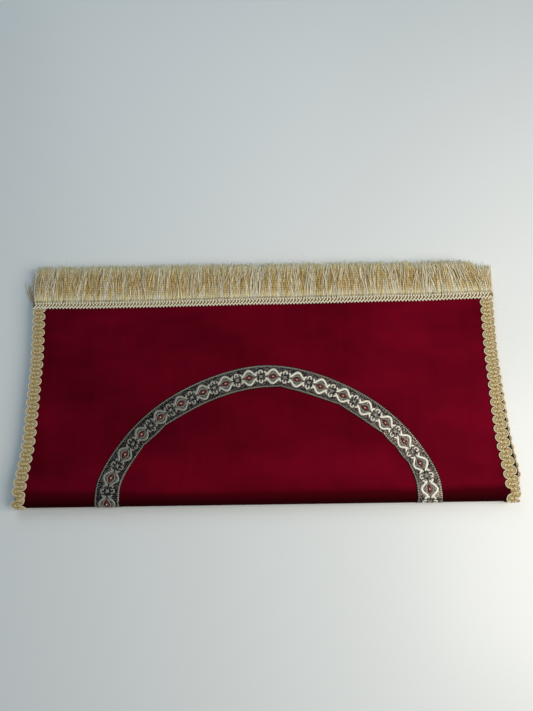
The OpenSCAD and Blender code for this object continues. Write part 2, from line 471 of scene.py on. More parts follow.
@dataclass(frozen=True)
class BrocadeGround(Finish):
    """The ribbon's ground: dull silver weft over black warp, with beaded selvedges and a black edge.

    Attributes:
        black: the warp.
        silver: the weft.
        bead: the selvedges' beads.
        half_width: half of the ribbon's width.
        edge_w: width of the black edge.
        bead_w: width of the row of beads.
        bead_pitch: distance between two beads.
        speck: size of the weft's specks, across and along.
    """

    black: str = "#19131a"
    silver: str = "#bbaca2"
    bead: str = "#d8cdb2"
    half_width: float = 15 * MM
    edge_w: float = 0.9 * MM
    bead_w: float = 1.5 * MM
    bead_pitch: float = 2.1 * MM
    speck: tuple[float, float] = (1.1 * MM, 1.5 * MM)

    def build(self) -> Material:
        """Specks in the middle, a row of beads along each selvedge and black outside them."""
        s = self.start()
        across, along = s.parts()
        across = s.calc("ABSOLUTE", across)
        place = s.flat(1 / self.speck[0], 1 / self.speck[1])
        inputs = {"Scale": 1.0, "Randomness": 0.7, "Vector": place}
        speckle = s.add("TexVoronoi", inputs).outputs["Distance"]
        # the silver catches more light from the left foot to the right one
        caught = s.calc("MULTIPLY_ADD", along, -0.3, speckle)
        beads = s.calc("SINE", s.calc("MULTIPLY", along, 2 * math.pi / self.bead_pitch))
        inner = self.half_width - self.edge_w
        edge = s.calc("GREATER_THAN", across, inner)
        row = s.calc("GREATER_THAN", across, inner - self.bead_w)
        ground = s.ramp(caught, self.silver, self.black, 0.15, 0.5)
        selvedge = s.ramp(beads, self.black, self.bead, 0.0, 0.4)
        colour = s.mix(edge, s.mix(row, ground, selvedge), linear(self.black))
        return s.dress(colour, speckle, 0.15 * MM, 0.6)


class Finishes:
    """All of the mat's finishes, built once."""

    def __init__(self) -> None:
        """Builds every finish."""
        # velvet drinks most light, so it is nearly black-red face on
        self.velvet = CutVelvet(
            "velvet_cut_pile", roughness=0.9, specular=0.03,
            sheen=0.12, sheen_roughness=0.35, sheen_tint="#c4082c",
        ).build()
        # acetate satin: black with a low gloss
        self.lining = WovenCloth("lining_acetate_satin", roughness=0.5, specular=0.15).build()
        # needled polyester felt: matt and grey
        self.wadding = WovenCloth(
            "wadding_needled_felt", roughness=0.95, sheen=0.3,
            shade="#77726c", light="#a49e96", thread=1.5 * MM,
        ).build()
        # rayon wound on cotton: a soft satin glow, cream outside and rosier inside
        self.gimp = SpunThread(
            "gimp_rayon_cord", roughness=0.45, sheen=0.15, sheen_tint="#fff3d0",
            plain=("#d2c092", "#fbf0d0"), full=("#846338", "#c6a86e"),
        ).build()
        # lurex: metal film wound on thread
        self.gold = SpunThread(
            "lurex_gold_thread", roughness=0.36, metallic=0.5, plain=("#8f6a1e", "#fae084"), lay=0.9 * MM
        ).build()
        # jacquard ground: black warp with a tarnished metallic weft
        self.brocade = BrocadeGround("jacquard_ground", roughness=0.4, metallic=0.6).build()
        # the figure's wefts, laid in on top of the ground
        # its full colours are grey wefts, and also the painted shade of the figure towards the left foot
        self.figure = SpunThread(
            "jacquard_figure_weft", roughness=0.34, metallic=0.3,
            plain=("#f0e7c8", "#fffdf4"), full=("#66645a", "#98968a"), lay=0.8 * MM,
        ).build()
        self.red_silk = SpunThread(
            "jacquard_red_weft", roughness=0.5, plain=("#4d0c0a", "#86201a"), lay=0.8 * MM
        ).build()
        # bright rayon floss, gold and natural white
        self.floss_gold = SpunThread(
            "rayon_floss_gold", roughness=0.4, sheen=0.2, sheen_tint="#ffe9b0",
            plain=("#9d722a", "#f8d27c"), full=("#f2dc98", "#fff3c0"), lay=2.5 * MM,
        ).build()
        self.floss_cream = SpunThread(
            "rayon_floss_cream", roughness=0.42, sheen=0.25,
            plain=("#eadbb4", "#fffae6"), full=("#f4ead0", "#fffbea"), lay=2.5 * MM,
        ).build()
        # cotton tape that the fringe is woven on
        self.tape = WovenCloth(
            "header_cotton_tape", roughness=0.8, sheen=0.2, shade="#6d512c", light="#937547"
        ).build()
        # polyester sewing thread
        self.thread = SpunThread(
            "sewing_thread", roughness=0.55, plain=("#6f6a60", "#a39c8c"), lay=0.8 * MM
        ).build()


# ---------------------------------------------------------------- the folded mat


@dataclass
class FoldedMat:
    """Where the cloth runs through the folded stack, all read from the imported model's boxes.

    Attributes:
        leaf_t: thickness of one padded leaf.
        sag_ground: how far the bottom leaf's middle sinks between the braids that it lies on.
        sag_middle: how far the two halves of the stack close up between their braids.
        inner_shift: how far the inner sheet lies to the right of the outer one, just behind the front fold.
        waist: how much narrower the mat is half way back, as a share of its width.
        flare: how much wider it is at the front fold, likewise.
        bend_h: half the height over which a piece bends round the front fold.
    """

    sag_ground: float = 1.8 * MM
    sag_middle: float = 3.9 * MM
    inner_shift: float = 7.4 * MM
    waist: float = 0.011
    flare: float = 0.009
    bend_h: float = 3.2 * MM
    leaf_t: float = field(init=False)

    def __post_init__(self) -> None:
        """Reads the stack's radii, axes and lengths from the boxes of its bends and leaves."""
        low, high = (np.array(c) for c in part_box("velvet_fold"))
        self.half_w = high[0]
        self.nose_r = (high[2] - low[2]) / 2
        self.axis_y = low[1] + self.nose_r
        self.axis_z = (high[2] + low[2]) / 2
        self.stub = high[1] - self.axis_y
        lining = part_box("lining_fold")
        self.leaf_t = self.nose_r - (lining[1][2] - lining[0][2]) / 2
        upper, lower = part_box("velvet_upper"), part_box("velvet_lower")
        self.inner_r = upper[0][2] - self.axis_z
        self.back_r = (lower[1][2] - lower[0][2]) / 2
        self.back_z = (lower[1][2] + lower[0][2]) / 2
        self.back_y = lower[1][1] - self.back_r
        self.end_y = upper[1][1]
        # distances along the velvet's face, from the nose of the front fold towards the bottom leaf
        self.q1 = self.nose_r * math.pi / 2
        self.q2 = self.q1 + self.back_y - self.axis_y
        self.q3 = self.q2 + self.back_r * math.pi
        self.q4 = self.q3 + self.back_y - self.axis_y
        self.q5 = self.q4 + self.inner_r * math.pi
        self.top_z = CAD_BOX[1][2]

    def t_of_top(self, y: float) -> float:
        """The place along the unrolled mat of a point of the top leaf."""
        return self.q1 + y - self.axis_y

    def t_of_inner(self, y: float) -> float:
        """The place along the unrolled mat of a point of the inner leaf."""
        return -(self.q5 + y - self.axis_y)

    def flat_stack(self, t: Points, n: Points) -> tuple[Points, Points]:
        """y and z, with every leaf flat, of a point at t along the mat and n above the velvet.

        A leaf is a straight run. A fold is half a circle about its axis, whose radius is that of the
        velvet's face plus n where the velvet is outside, and minus n where it is inside.
        """
        q = -t
        nose = t / self.nose_r
        back = (q - self.q2) / self.back_r - math.pi / 2
        tuck = (q - self.q4) / self.inner_r - math.pi / 2
        cases = [t >= self.q1, q < self.q1, q < self.q2, q < self.q3, q < self.q4, q < self.q5]
        y = np.select(
            cases,
            [
                self.axis_y + t - self.q1,
                self.axis_y - (self.nose_r + n) * np.cos(nose),
                self.axis_y + q - self.q1,
                self.back_y + (self.back_r + n) * np.cos(back),
                self.back_y - (q - self.q3),
                self.axis_y - (self.inner_r - n) * np.cos(tuck),
            ],
            self.axis_y + q - self.q5,
        )
        z = np.select(
            cases,
            [
                self.axis_z + self.nose_r + n,
                self.axis_z + (self.nose_r + n) * np.sin(nose),
                self.axis_z - self.nose_r - n,
                self.back_z + (self.back_r + n) * np.sin(back),
                self.axis_z - self.inner_r + n,
                self.axis_z + (self.inner_r - n) * np.sin(tuck),
            ],
            self.axis_z + self.inner_r - n,
        )
        return y, z

    def settle(self, x: Points, y: Points, z: Points, inner: Points) -> Points:
        """How the flat stack sinks and slips under its own weight.

        The middle of the stack, between the braids and behind the stiff front fold, closes the gaps that
        the braids hold open, and the top leaf ripples a little. The inner sheet lies a little to the right,
        and the mat is a little narrower half way back.
        """
        behind = y - self.axis_y
        slack = (0.25 + 0.75 * ease(self.half_w - np.abs(x), 12 * MM, 95 * MM)) * ease(behind, 0.0, 55 * MM)
        slack = slack * (1 - 0.3 * ease(y, self.end_y - 35 * MM, self.end_y))
        sunk = self.sag_ground * np.clip(z / (self.axis_z - self.nose_r), 0, 1)
        closed = self.sag_middle * np.clip((z - self.axis_z + self.inner_r) / (2 * self.inner_r), 0, 1)
        waves = np.sin(38 * x + 21 * y + 0.6) + np.sin(-27 * x + 44 * y + 2.1)
        waves = waves + 0.7 * np.sin(71 * x - 16 * y + 4.0)
        ripple = 0.45 * MM * waves * ease(z, 0.0, self.top_z) * slack
        z = z - slack * (sunk + closed) + ripple
        middle = ease(behind, 5 * MM, 90 * MM) * ease(self.end_y - y, 0.0, 90 * MM)
        x = x * (1 - self.waist * middle + self.flare * (1 - ease(behind, 0.0, 70 * MM))) + 0.4 * MM * middle
        skew = ease(behind, -1 * MM, 26 * MM) * (1 - 0.5 * ease(behind, 20 * MM, 200 * MM))
        x = x + inner * self.inner_shift * skew
        return np.stack([x, y, z], axis=-1)

    def place(self, x: Points, t: Points, n: Points) -> Points:
        """Scene coordinates of points on the unrolled mat."""
        x, t, n = np.broadcast_arrays(np.asarray(x, float), np.asarray(t, float), np.asarray(n, float))
        y, z = self.flat_stack(t, n)
        return self.settle(x, y, z, ease(-t, self.q3, self.q3 + 60 * MM))

    def place_points(self, points: Points) -> Points:
        """Scene coordinates of points given as rows of x, t and n."""
        return self.place(points[:, 0], points[:, 1], points[:, 2])


class Part(Enum):
    """The stretches of the mat, and the CAD stretch that each stands for."""

    # values have to differ, so those of the stretches inside the fold end in a blank
    TOP = "upper"
    INNER = "upper "
    NOSE = "fold"
    TUCK = "fold "
    BASE = "lower"

    @property
    def cad(self) -> str:
        """Ending of the CAD nodes' names."""
        return self.value.strip()

    @property
    def label(self) -> str:
        """Ending of the pieces' names."""
        return self.name.lower()


class Side(Enum):
    """The two sides that a braid runs down."""

    LEFT = "left"
    RIGHT = "right"


class End(Enum):
    """The two ends of the cloth: the one on the top leaf, and the one under it."""

    HEAD = "head"
    FOOT = "foot"


class Weft(Enum):
    """The wefts that the ribbon's figure is woven in."""

    FIGURE = "figure"
    RED = "red"
    WHITE = "white"


def attach(piece: Piece, part: Part, mat: FoldedMat, slot: str, nodes: list[str], slack: float) -> None:
    """Hides the CAD nodes that a piece stands for and makes it move with its half of the mat; a piece that
    crosses the front fold is only baked in place.

    Args:
        piece: the finished piece.
        part: the stretch of the mat that it lies on.
        mat: the folded mat.
        slot: the piece's material slot; not used.
        nodes: the CAD nodes that it stands for.
        slack: half the height over which a folded piece turns from one half to the other.
    """
    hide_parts(*nodes)
    if part in (Part.NOSE, Part.TUCK):
        # for the nose both points lie on or under the axis, so that the sagging top leaf would turn as a
        # whole; nothing here turns the piece
        rise = 0.0 if part is Part.NOSE else slack
        low, high = ((0.0, mat.axis_y, mat.axis_z + z) for z in (-slack, rise))
        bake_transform(piece)
        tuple(low)
        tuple(high)
    else:
        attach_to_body(piece, LOWER if part is Part.BASE else UPPER)
    LOG.info("%s: %d points", piece.name, len(piece.data.vertices))


# ---------------------------------------------------------------- velvet, wadding and lining


@dataclass
class PaddedCloth:
    """The three layers of the mat: velvet, wadding and lining, sewn together along their edges.

    Attributes:
        mat: the folded mat.
        finishes: the mat's finishes.
        edge_r: how far in from its sides the mat rounds off.
        fine: distance between points on the velvet.
        coarse: distance between points on the other layers.
        front_steps: rows of points round the front fold.
        back_steps: rows of points round the back fold.
    """

    mat: FoldedMat
    finishes: Finishes
    edge_r: float = 2.2 * MM
    fine: float = 3.5 * MM
    coarse: float = 8 * MM
    front_steps: int = 25
    back_steps: int = 13

    def stretch(self, part: Part) -> tuple[float, float]:
        """First and last t of a stretch."""
        m = self.mat
        return {
            Part.TOP: (m.q1 + m.stub, m.t_of_top(m.end_y)),
            Part.NOSE: (-m.q1 - m.stub, m.q1 + m.stub),
            Part.BASE: (-m.q4 + m.stub, -m.q1 - m.stub),
            Part.TUCK: (-m.q5 - m.stub, -m.q4 + m.stub),
            Part.INNER: (m.t_of_inner(m.end_y), -m.q5 - m.stub),
        }[part]

    def across(self, step: float) -> Points:
        """Places across the mat: even in the middle, and close together where its sides round off."""
        inside = self.mat.half_w - self.edge_r
        middle = np.linspace(-inside, inside, int(2 * inside / step) + 1)
        bend = inside + self.edge_r * np.sin(np.linspace(0, np.pi / 2, 5)[1:])
        return np.concatenate([-bend[::-1], middle, bend])

    def along(self, part: Part, step: float) -> Points:
        """Places along a stretch, closer together round its folds."""
        first, last = self.stretch(part)
        m = self.mat
        if part in (Part.NOSE, Part.TUCK):
            return np.linspace(first, last, self.front_steps)
        even = np.linspace(first, last, int((last - first) / step) + 1)
        if part is not Part.BASE:
            return even
        bend = np.linspace(-m.q3, -m.q2, self.back_steps)
        outside = (even < -m.q3 - 1e-6) | (even > -m.q2 + 1e-6)
        return np.sort(np.concatenate([even[outside], bend]))

    def layer(self, part: Part, low: float, high: float, step: float, with_nose: bool) -> Shape:
        """A layer between two heights below the velvet's face, rounded towards the seam at its sides.

        Within edge_r of a side, the layer's heights close in on the middle of the leaf as a quarter circle
        does.
        """
        m = self.mat
        x = self.across(step)
        along = self.along(part, step)
        if with_nose:
            along = np.concatenate([self.along(Part.NOSE, step)[:-1], along])
        beyond = np.clip((np.abs(x) - (m.half_w - self.edge_r)) / self.edge_r, 0, 1)
        full = np.maximum(np.sqrt(1 - beyond**2), 0.12)
        seam = -m.leaf_t / 2
        return slab(x, along, seam + (low - seam) * full, seam + (high - seam) * full, m.place)

    def lean(self, x: Points, t: Points) -> Points:
        """The velvet's tone, a painted shade: 1 at the nose of the front fold, which turns away from the
        lamps, fading out behind it.

        The painted shade reaches further back towards the mat's sides. Behind the fold, most of all in the
        middle, the tone falls below 0 in a band: a painted highlight on the top leaf.
        """
        reach = 24 * MM + 6 * MM * (x / self.mat.half_w) ** 2
        painted_highlight = np.exp(-(((t - 47 * MM) / (18 * MM)) ** 2) - ((x - 40 * MM) / (150 * MM)) ** 2)
        return 1 - ease(np.abs(t) / reach, 0.11, 1.0) - 0.22 * painted_highlight

    def build(self) -> dict[tuple[str, Part], Piece]:
        """Makes every layer of every stretch, and returns the pieces by layer and stretch."""
        m = self.mat
        names = ("velvet", "wadding", "lining")
        looks = (self.finishes.velvet, self.finishes.wadding, self.finishes.lining)
        faces = [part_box(f"{name}_fold")[1][2] - m.axis_z - m.nose_r for name in names]
        lows = faces[1:] + [-m.leaf_t]
        pieces = {}
        for name, material, high, low in zip(names, looks, faces, lows):
            for part in Part:
                face = name == "velvet" and part is Part.TOP
                if name == "velvet" and part is Part.NOSE:
                    continue
                shape = self.layer(part, low, high, self.fine if face else self.coarse, face)
                if name == "velvet":
                    # the velvet's tone: painted shade round the front fold's nose and a painted highlight
                    # behind it
                    shape.tone = self.lean(shape.uv[:, 0], shape.uv[:, 1])
                piece = make_piece(f"{name}_{part.label}", shape, material)
                slack = m.inner_r * 0.8 if part is Part.TUCK else m.bend_h
                nodes = [f"{name}_{part.cad}"] + ([f"{name}_fold"] if face else [])
                attach(piece, Part.NOSE if face else part, m, name, nodes, slack)
                pieces[name, part] = piece
        return pieces

    def flat(self, part: Part, depth: float, with_nose: bool) -> tuple[float, float]:
        """Width and length that a layer was cut to, at its own depth below the velvet's face."""
        first, last = self.stretch(part)
        if with_nose:
            first = self.stretch(Part.NOSE)[0]
        turns = {Part.NOSE: -1, Part.TUCK: 1, Part.BASE: -1}.get(part, -1 if with_nose else 0)
        return (2 * self.mat.half_w, last - first + math.pi * turns * depth)


# ---------------------------------------------------------------- scroll braid


@dataclass
class ScrollBraid:
    """The braid down one side: cords laid side by side in a scroll, bound down the middle by gold threads.

    Attributes:
        mat: the folded mat.
        finishes: the mat's finishes.
        side: the side that it runs down.
        pitch: distance between two scallops of one edge.
        cords: diameters of the cords that lie side by side.
        tones: their tones: bright ones outside, a rosier one in the middle and dull ones between.
        rows: places of the gold threads across the braid.
        gold_w: a gold thread's width.
        gold_h: its height.
        gold_lift: height of its middle line above the velvet.
        gold_wave: how far it rises and falls.
        gold_sway: how far it swings to each side.
        gold_steps: points of a gold thread for each period of the scroll.
    """

    mat: FoldedMat
    finishes: Finishes
    side: Side
    pitch: float = 10.8 * MM
    cords: tuple[float, ...] = (1.34 * MM, 0.8 * MM, 1.12 * MM, 0.8 * MM, 1.34 * MM)
    tones: tuple[float, ...] = (0.0, 1.0, 0.45, 1.0, 0.0)
    rows: tuple[float, ...] = (-2.1 * MM, 0.0, 2.1 * MM)
    gold_w: float = 0.9 * MM
    gold_h: float = 0.6 * MM
    gold_lift: float = 1.35 * MM
    gold_wave: float = 0.5 * MM
    gold_sway: float = 0.7 * MM
    gold_steps: int = 24

    def scroll(self, periods: float) -> tuple[Points, Points]:
        """The scroll's middle line and the directions to its left, for so many periods.

        A period is a run to the right, half a turn about a point at a quarter of the pitch further on, a
        run to the left and half a turn the other way.
        """
        low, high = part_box(f"braid_{self.side.value}_upper")
        turn_r = self.pitch / 4
        reach = (high[0] - low[0]) / 2 - 2 * turn_r
        run = np.linspace(-reach, reach, 3)
        swing = np.linspace(-np.pi / 2, np.pi / 2, 9)[1:-1]
        one, zero = np.ones, np.zeros
        line = np.concatenate([
            np.stack([run, zero(3)], 1),
            np.stack([reach + turn_r * np.cos(swing), turn_r + turn_r * np.sin(swing)], 1),
            np.stack([run[::-1], 2 * turn_r * one(3)], 1),
            np.stack([-reach - turn_r * np.cos(swing), 3 * turn_r + turn_r * np.sin(swing)], 1),
        ])
        left = np.concatenate([
            np.stack([zero(3), one(3)], 1),
            np.stack([-np.cos(swing), -np.sin(swing)], 1),
            np.stack([zero(3), -one(3)], 1),
            np.stack([-np.cos(swing), np.sin(swing)], 1),
        ])
        whole = math.ceil(periods)
        shift = np.repeat(np.arange(whole), len(line))[:, None] * np.array([0.0, self.pitch])
        count = int(round(periods * len(line)))
        return (np.tile(line, (whole, 1)) + shift)[:count], np.tile(left, (whole, 1))[:count]

    def stretch(self, part: Part) -> tuple[float, float]:
        """First t and number of periods of a stretch."""
        m = self.mat
        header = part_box("head_fringe_header")[0][1]
        nose = 1.25 * self.pitch
        last = {
            Part.TOP: (nose, m.t_of_top(header)),
            Part.NOSE: (-nose, nose),
            Part.BASE: (-m.q4 + m.stub, -nose),
            Part.TUCK: (-m.q5 - m.stub, -m.q4 + m.stub),
            Part.INNER: (m.t_of_inner(header), -m.q5 - m.stub),
        }[part]
        periods = round(2 * (last[1] - last[0]) / self.pitch - 0.2) / 2
        return (last[0] if part in (Part.TOP, Part.NOSE) else last[1] - periods * self.pitch), periods

    def build(self) -> list[Piece]:
        """Makes the cords and the gold threads of every stretch."""
        m = self.mat
        low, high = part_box(f"braid_{self.side.value}_upper")
        centre = (low[0] + high[0]) / 2
        thick = np.array(self.cords)
        offsets = np.cumsum(thick) - thick / 2 - thick.sum() / 2
        pieces = []
        for part in Part:
            start, periods = self.stretch(part)
            line, left = self.scroll(periods)
            plan = line[None] + offsets[:, None, None] * left[None]
            # the gold threads pull the cords down along the braid's middle
            lift = thick[:, None] * 0.5 + 0.3 * MM * ease(np.abs(plan[..., 0]), 1 * MM, 4 * MM)
            plan = plan + np.array([centre, start + self.pitch / 4])
            lines = np.concatenate([plan, lift[..., None]], axis=-1)
            shape = tubes(lines, thick, thick, 6, np.array(self.tones), m.place_points)
            braid = make_piece(f"braid_{self.side.value}_{part.label}", shape, self.finishes.gimp)
            slack = 0.5 * MM if part is Part.TUCK else m.bend_h
            attach(braid, part, m, "braid", [f"braid_{self.side.value}_{part.cad}"], slack)
            # a gold thread goes over one run of the scroll and under the next, out of step with its neighbour
            t = np.linspace(start, start + periods * self.pitch, int(periods * self.gold_steps) + 1)
            rows = np.array(self.rows)
            beat = 2 * np.pi * t[None] / (self.pitch / 2) + np.pi * (np.arange(len(rows)) % 2)[:, None]
            height = self.gold_lift + self.gold_wave * np.sin(beat)
            x = centre + rows[:, None] + self.gold_sway * np.sin(beat / 2)
            core = np.stack([x, np.broadcast_to(t, height.shape), height], axis=-1)
            shape = tubes(core, self.gold_w, self.gold_h, 6, 0.0, m.place_points)
            gold = make_piece(f"braid_core_{self.side.value}_{part.label}", shape, self.finishes.gold)
            attach(gold, part, m, "braid_core", [f"braid_core_{self.side.value}_{part.cad}"], slack)
            pieces += [braid, gold]
        return pieces


# ---------------------------------------------------------------- the ribbon


@dataclass
class ArchRibbon:
    """The woven ribbon: an arch on the top leaf whose legs run on round the folds to the far end.

    Along the ribbon, b is measured from the arch's crown, positive to the right, and across it a is
    positive towards the outside of the arch.

    Attributes:
        mat: the folded mat.
        finishes: the mat's finishes.
        width: the ribbon's width.
        thick: its thickness.
        half_span: half of the arch's span, to the ribbon's middle.
        off_centre: how far to the right of the mat's middle the arch was sewn.
        spring: how far behind the front fold's axis the arch springs.
        rise: its rise from there, to the ribbon's middle.
        power: the exponent of the arch's superellipse: 2 would be a plain ellipse.
        tucks: where the inner edge is gathered into small tucks, along b.
        tuck_in: how far a tuck draws the inner edge in.
        tuck_run: how far along the edge that reaches.
        repeat: distance between two medallions.
        first: place of the medallion next to the crown.
        float_h: height of the figure's floats of weft.
        stitch: length of a stitch.
        seam_in: how far inside the edges the stitches lie.
        columns: points across the ribbon.
        fine: distance between rows of points on the top leaf.
        coarse: the same on the other leaves.
    """

    mat: FoldedMat
    finishes: Finishes
    width: float = 30 * MM
    thick: float = 0.55 * MM
    half_span: float = 190 * MM
    off_centre: float = 5.2 * MM
    spring: float = 12.0 * MM
    rise: float = 136 * MM
    power: float = 1.73
    tucks: tuple[float, ...] = tuple(b * MM for b in (-183, -145, 21, 102, 170, 192, 218))
    tuck_in: float = 2.6 * MM
    tuck_run: float = 13 * MM
    repeat: float = 30.8 * MM
    first: float = 9.3 * MM
    float_h: float = 0.5 * MM
    stitch: float = 3.2 * MM
    seam_in: float = 1.5 * MM
    columns: int = 17
    fine: float = 1.2 * MM
    coarse: float = 4 * MM

    def __post_init__(self) -> None:
        """Works out the arch's middle line and its length."""
        # the arch is the curve |x/half_span|^power + |y/rise|^power = 1, from its left foot to its right
        turn = np.linspace(np.pi, 0, 2001)
        x = self.half_span * np.sign(np.cos(turn)) * np.abs(np.cos(turn)) ** (2 / self.power)
        y = self.rise * np.abs(np.sin(turn)) ** (2 / self.power)
        run = np.concatenate([[0], np.cumsum(np.hypot(np.diff(x), np.diff(y)))])
        self.curve_b = run - run[-1] / 2
        foot_t = self.mat.t_of_top(self.mat.axis_y + self.spring)
        self.curve = np.stack([x + self.off_centre, y + foot_t], axis=1)
        self.foot = self.curve_b[-1]

    def middle(self, b: Points) -> Points:
        """The ribbon's middle line as x and t: the arch, then straight on from each foot."""
        line = np.stack([np.interp(b, self.curve_b, self.curve[:, k]) for k in (0, 1)], axis=-1)
        line[..., 1] -= np.maximum(np.abs(b) - self.foot, 0)
        return line

    def outward(self, b: Points) -> Points:
        """Directions across the ribbon, away from the inside of the arch."""
        step = 0.5 * MM
        ahead = unit(self.middle(b + step) - self.middle(b - step))
        return np.stack([-ahead[..., 1], ahead[..., 0]], axis=-1)

    def plan(self, a: Points, b: Points) -> Points:
        """x and t of a point of the ribbon.

        The ribbon follows the arch, but each tuck draws its inner edge in, less and less along the edge.
        """
        away = np.abs(b[..., None] - np.array(self.tucks)).min(axis=-1)
        drawn = 1 - self.tuck_in / (self.width / 2) * np.exp(-away / self.tuck_run)
        a = np.where(a < 0, a * drawn, a)
        return self.middle(b) + a[..., None] * self.outward(b)

    def tuck_lift(self, a: Points, b: Points) -> Points:
        """Height of the small pleats: ridges 1.5 mm wide that grow from the middle to the inner edge."""
        away = np.abs(b[..., None] - np.array(self.tucks)).min(axis=-1)
        return 0.5 * MM * np.exp(-((away / (0.9 * MM)) ** 2)) * ease(-a, 2 * MM, 14 * MM)

    def place(self, a: Points, b: Points, n: Points) -> Points:
        """Scene coordinates of points of the ribbon."""
        a, b, n = np.broadcast_arrays(a, b, n)
        plan = self.plan(a, b)
        return self.mat.place(plan[..., 0], plan[..., 1], n + self.tuck_lift(a, b))

    def place_points(self, points: Points) -> Points:
        """Scene coordinates of points given as rows of a, b and n."""
        return self.place(points[:, 0], points[:, 1], points[:, 2])

    def stretch(self, part: Part) -> list[tuple[float, float]]:
        """First and last b of each run of ribbon on a stretch of the mat."""
        m = self.mat
        ends = m.t_of_inner(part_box("head_fringe_header")[0][1])
        cuts = [m.q1 + m.stub, -m.q1 - m.stub, -m.q4 + m.stub, -m.q5 - m.stub, ends]
        # how far along b each cut lies from the crown: t falls as b grows on a straight leg
        foot_t = self.curve[-1, 1]
        b = [self.foot + foot_t - cut for cut in cuts]
        if part is Part.TOP:
            return [(-b[1], b[1])]
        k = {Part.BASE: 1, Part.TUCK: 2, Part.INNER: 3}[part]
        return [(-b[k + 1], -b[k]), (b[k], b[k + 1])]

    def strokes(self) -> list[tuple[Points, float, Weft, float]]:
        """One repeat of the figure, a medallion at its middle: lines of weft with width, look and tone.

        The lines are rows of b and a about the medallion's centre. The medallion is a lozenge with rounded
        flanks, whose four arms end in spurs, round a pointed oval and a red kernel with a white dot.
        Between two medallions stand a pair of scrolls, with two crossed leaves.
        """
        flank = [(-10.2, 1.1), (-8.0, 2.7), (-5.5, 5.2), (-2.9, 8.0), (0, 9.2)]
        lobe = through(flank + [(-b, a) for b, a in flank[-2::-1]], 21)
        spur = through([(7.4, 3.4), (9.4, 4.5), (11.0, 7.0)], 5)
        eye = through([(-7.2, 0), (-3.7, 3.2), (0, 4.6), (3.7, 3.2), (7.2, 0)], 13)
        turn = np.linspace(0, 2 * np.pi, 13)
        ring = np.stack([1.7 * np.cos(turn), 1.4 * np.sin(turn)], axis=1)
        scroll = through([(13.6, 3.4), (13.0, 6.0), (14.6, 8.0), (17.0, 7.5), (17.4, 5.2), (15.6, 5.2)], 12)
        leaf = through([(13.1, -1.4), (14.4, -1.0), (16.4, 1.0), (17.7, 1.4)], 6)
        out: list[tuple[Points, float, Weft, float]] = []
        for side in (1, -1):
            flip = np.array([1, side])
            dot = np.array([[b, 6.6 * side] for b in (-0.8, 0.0, 0.8)])
            half = (
                (lobe * flip, 3.2, 0.0), (eye * flip, 1.3, 0.85), (spur * flip, 2.7, 0.0),
                (-spur * flip, 2.7, 0.0),
                (scroll * flip, 2.0, 0.1), (leaf * flip, 1.7, 0.8), (ring + [0.0, 6.4 * side], 0.6, 1.0),
                (dot, 1.5, 0.1),
            )
            out += [(line, width, Weft.FIGURE, tone) for line, width, tone in half]
        out.append((np.stack([np.linspace(-5.6, 5.6, 9), np.zeros(9)], axis=1), 5.4, Weft.RED, 0.0))
        out.append((np.array([[-1.0, 0], [0, 0], [1.0, 0]]), 1.8, Weft.WHITE, 0.0))
        return [(line * MM, width * MM, look, tone) for line, width, look, tone in out]

    def figure(self, run: tuple[float, float], look: Weft) -> list[Shape]:
        """The strokes of one weft, repeated along a run of ribbon wherever the whole stroke fits in."""
        first = math.floor((run[0] - self.first) / self.repeat) - 1
        last = math.ceil((run[1] - self.first) / self.repeat)
        every = self.first + self.repeat * np.arange(first, last + 1)
        shapes = []
        for line, width, kind, tone in self.strokes():
            starts, stops = every + line[:, 0].min(), every + line[:, 0].max()
            centres = every[(starts > run[0] + 1 * MM) & (stops < run[1] - 1 * MM)]
            if kind is not look or not len(centres):
                continue
            lift = self.thick + (0.35 * MM if kind is Weft.WHITE else 0.12 * MM)
            lines = np.stack([
                np.broadcast_to(line[:, 1], (len(centres), len(line))),
                centres[:, None] + line[None, :, 0],
                np.full((len(centres), len(line)), lift),
            ], axis=-1)
            # a stroke's ends are pinched, and the red lozenge tapers all the way
            s = np.linspace(-1, 1, len(line))
            taper = 1 - np.abs(s) ** 1.4 if kind is Weft.RED else np.sqrt(np.maximum(1 - np.abs(s) ** 8, 0))
            widths = np.broadcast_to(width * np.maximum(taper, 0.15), lines.shape[:2])
            # a stroke's tone picks its grey wefts, and on top of that the figure is painted duller and greyer
            # towards the left foot, a painted shade away from the window
            dull = np.maximum(tone, 0.9 * ease(-lines[..., 1], -60 * MM, 150 * MM) * (look is Weft.FIGURE))
            shapes.append(tubes(lines, widths, self.float_h, 6, dull, self.place_points))
        return shapes

